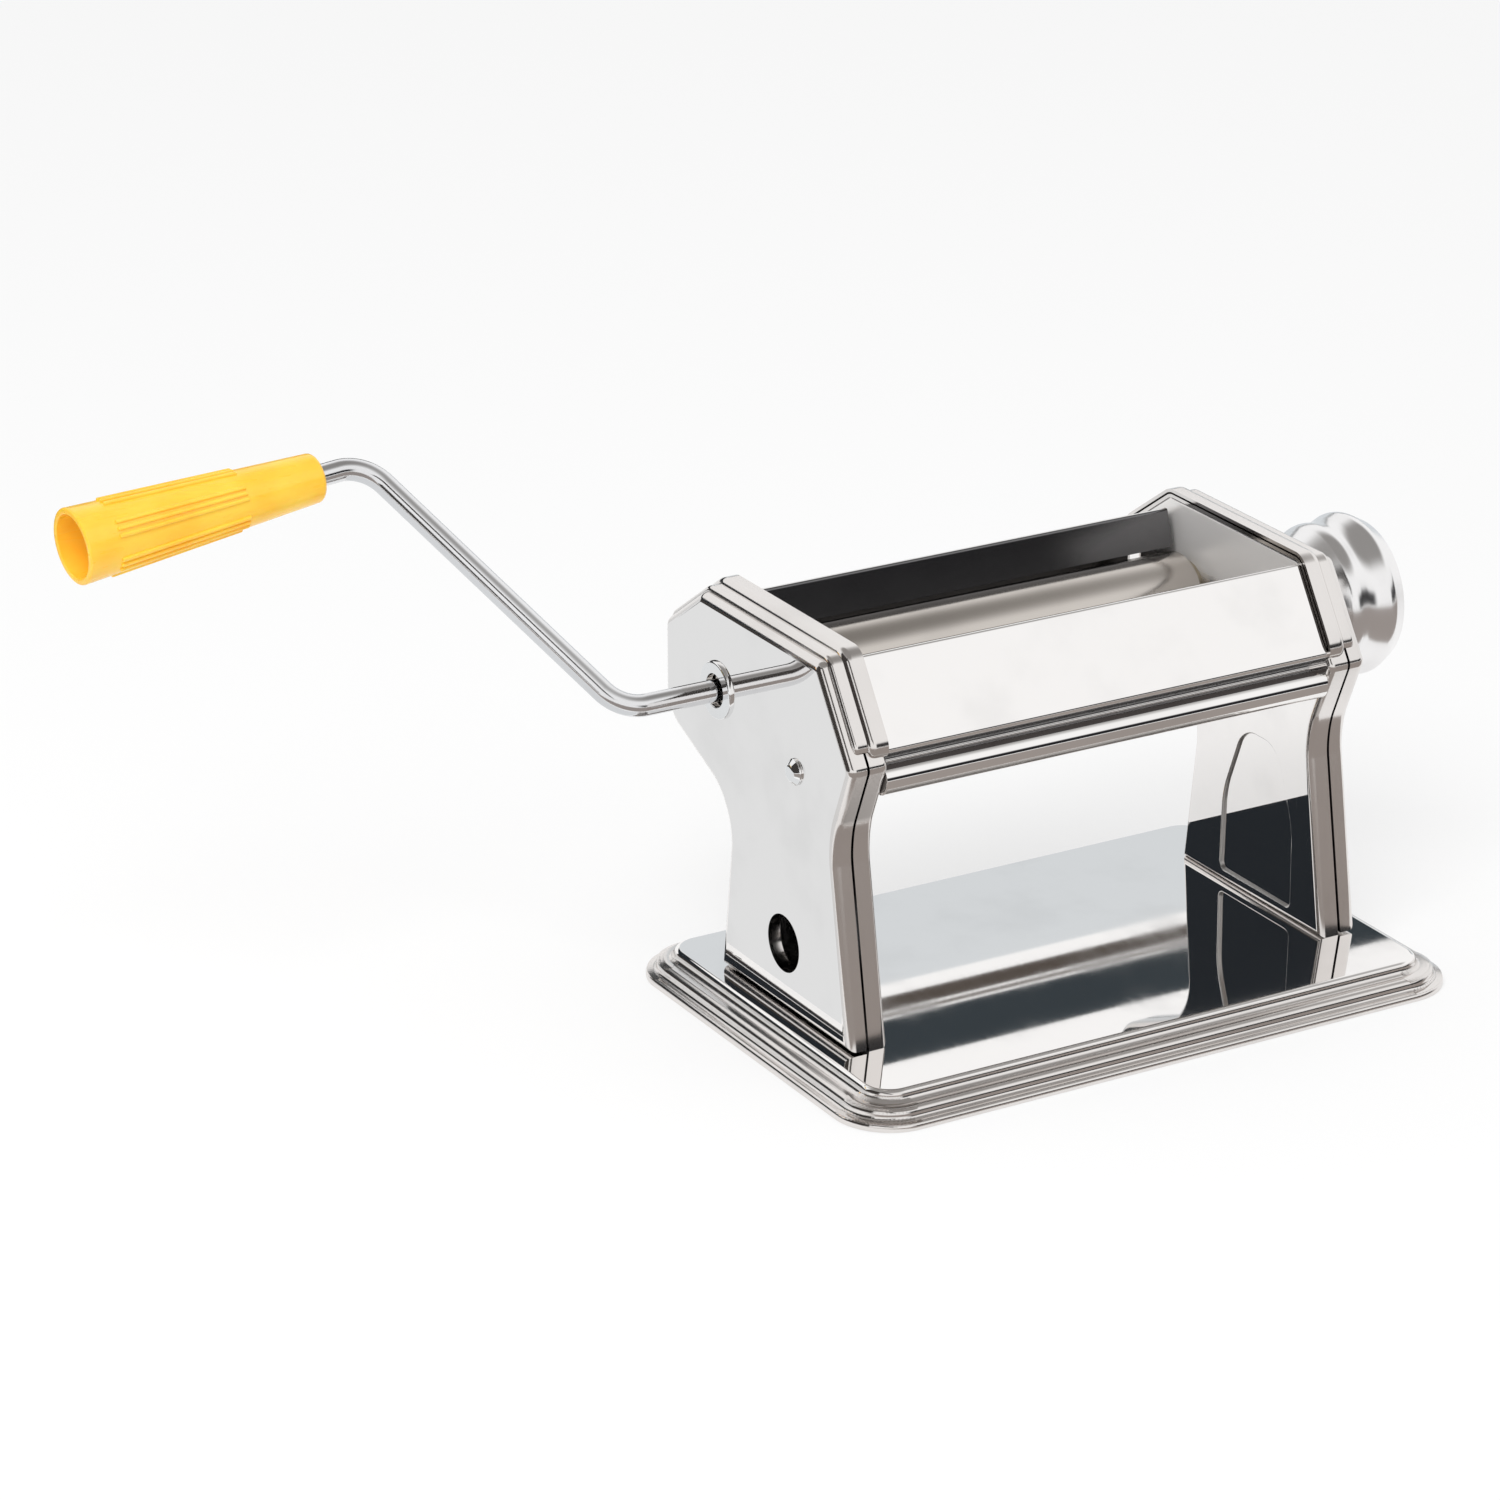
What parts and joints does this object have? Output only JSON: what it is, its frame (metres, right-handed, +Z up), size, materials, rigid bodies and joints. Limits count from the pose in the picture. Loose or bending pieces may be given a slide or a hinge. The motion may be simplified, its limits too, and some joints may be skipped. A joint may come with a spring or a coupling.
{
  "type": "pasta roller machine",
  "caption": "Hand-cranked pasta roller machine: polished steel sides on a pressed base, rollers under a dough slot, a tulip adjusting knob and a bent crank with a yellow grip.",
  "frame": {"origin": "on the table, under the middle of the base tray", "axes": "+X along the rollers from the crank to the knob, -Y to the front, +Z up"},
  "size_m": [0.3814, 0.1792, 0.1645],
  "materials": {
    "polished_steel": "mirror polished",
    "roller_steel": "fine ground",
    "plain_steel": "plain",
    "bush_brass": "turned",
    "grip_plastic": "moulded, glossy"
  },
  "bodies": {
    "frame": {"base_tray": "polished_steel", "inner_plate_left": "polished_steel", "inner_plate_right": "polished_steel", "side_cover_left": "polished_steel", "side_cover_right": "polished_steel", "front_cover": "polished_steel", "rear_cover": "polished_steel", "tie_rods": "plain_steel", "tie_rod_nuts": "plain_steel", "drive_bushes": "bush_brass", "spindle_bush": "bush_brass", "bearing_bridge": "plain_steel", "rear_scraper": "plain_steel", "crank_bush": "polished_steel", "index_plate": "polished_steel", "cover_screws": "polished_steel", "cover_post": "plain_steel", "base_screws": "plain_steel"},
    "drive": {"drive_roller": "roller_steel", "drive_gear": "plain_steel", "drive_rings": "plain_steel"},
    "adjuster": {"eccentric_spindle": "plain_steel", "spindle_ring": "plain_steel", "knob_screw": "plain_steel", "knob_spring": "plain_steel"},
    "carriage": {"scraper_arms": "plain_steel", "front_scraper": "plain_steel"},
    "idle": {"idle_roller": "roller_steel", "idle_roller_bushes": "bush_brass", "idle_gear": "plain_steel"},
    "knob": {"adjusting_knob": "polished_steel", "index_pin": "plain_steel"},
    "crank": {"crank_rod": "polished_steel", "grip_washer": "plain_steel"},
    "grip": {"crank_grip": "grip_plastic"}
  },
  "joints": [
    {"name": "drive_spin", "type": "hinge", "parent": "frame", "child": "drive", "pos_m": [0, 0.0398, 0.0946], "axis": [1, 0, 0], "continuous": true},
    {"name": "knob_turn", "type": "hinge", "parent": "frame", "child": "adjuster", "pos_m": [0, 0.0123, 0.09573], "axis": [1, 0, 0], "range_deg": [-60, 60]},
    {"name": "carriage_level", "type": "hinge", "parent": "adjuster", "child": "carriage", "pos_m": [0, 0.0123, 0.09423], "axis": [1, 0, 0], "range_deg": [-60, 60]},
    {"name": "idle_spin", "type": "hinge", "parent": "carriage", "child": "idle", "pos_m": [0, 0.0123, 0.09423], "axis": [1, 0, 0], "continuous": true},
    {"name": "knob_pull", "type": "slide", "parent": "adjuster", "child": "knob", "axis": [1, 0, 0], "range_m": [0, 0.004], "stiffness_N_per_m": 800, "springref_m": -0.004, "deforming": ["knob_spring"]},
    {"name": "crank_pull", "type": "slide", "parent": "drive", "child": "crank", "axis": [-1, 0, 0], "range_m": [0, 0.026]},
    {"name": "grip_spin", "type": "hinge", "parent": "crank", "child": "grip", "pos_m": [-0.18343, 0.10222, 0.15702], "axis": [-0.9952, -0.069, -0.069], "continuous": true}
  ],
  "couplings": [
    {"joint": "carriage_level", "follows": "knob_turn", "ratio": -1},
    {"joint": "idle_spin", "follows": "drive_spin", "ratio": -1}
  ]
}
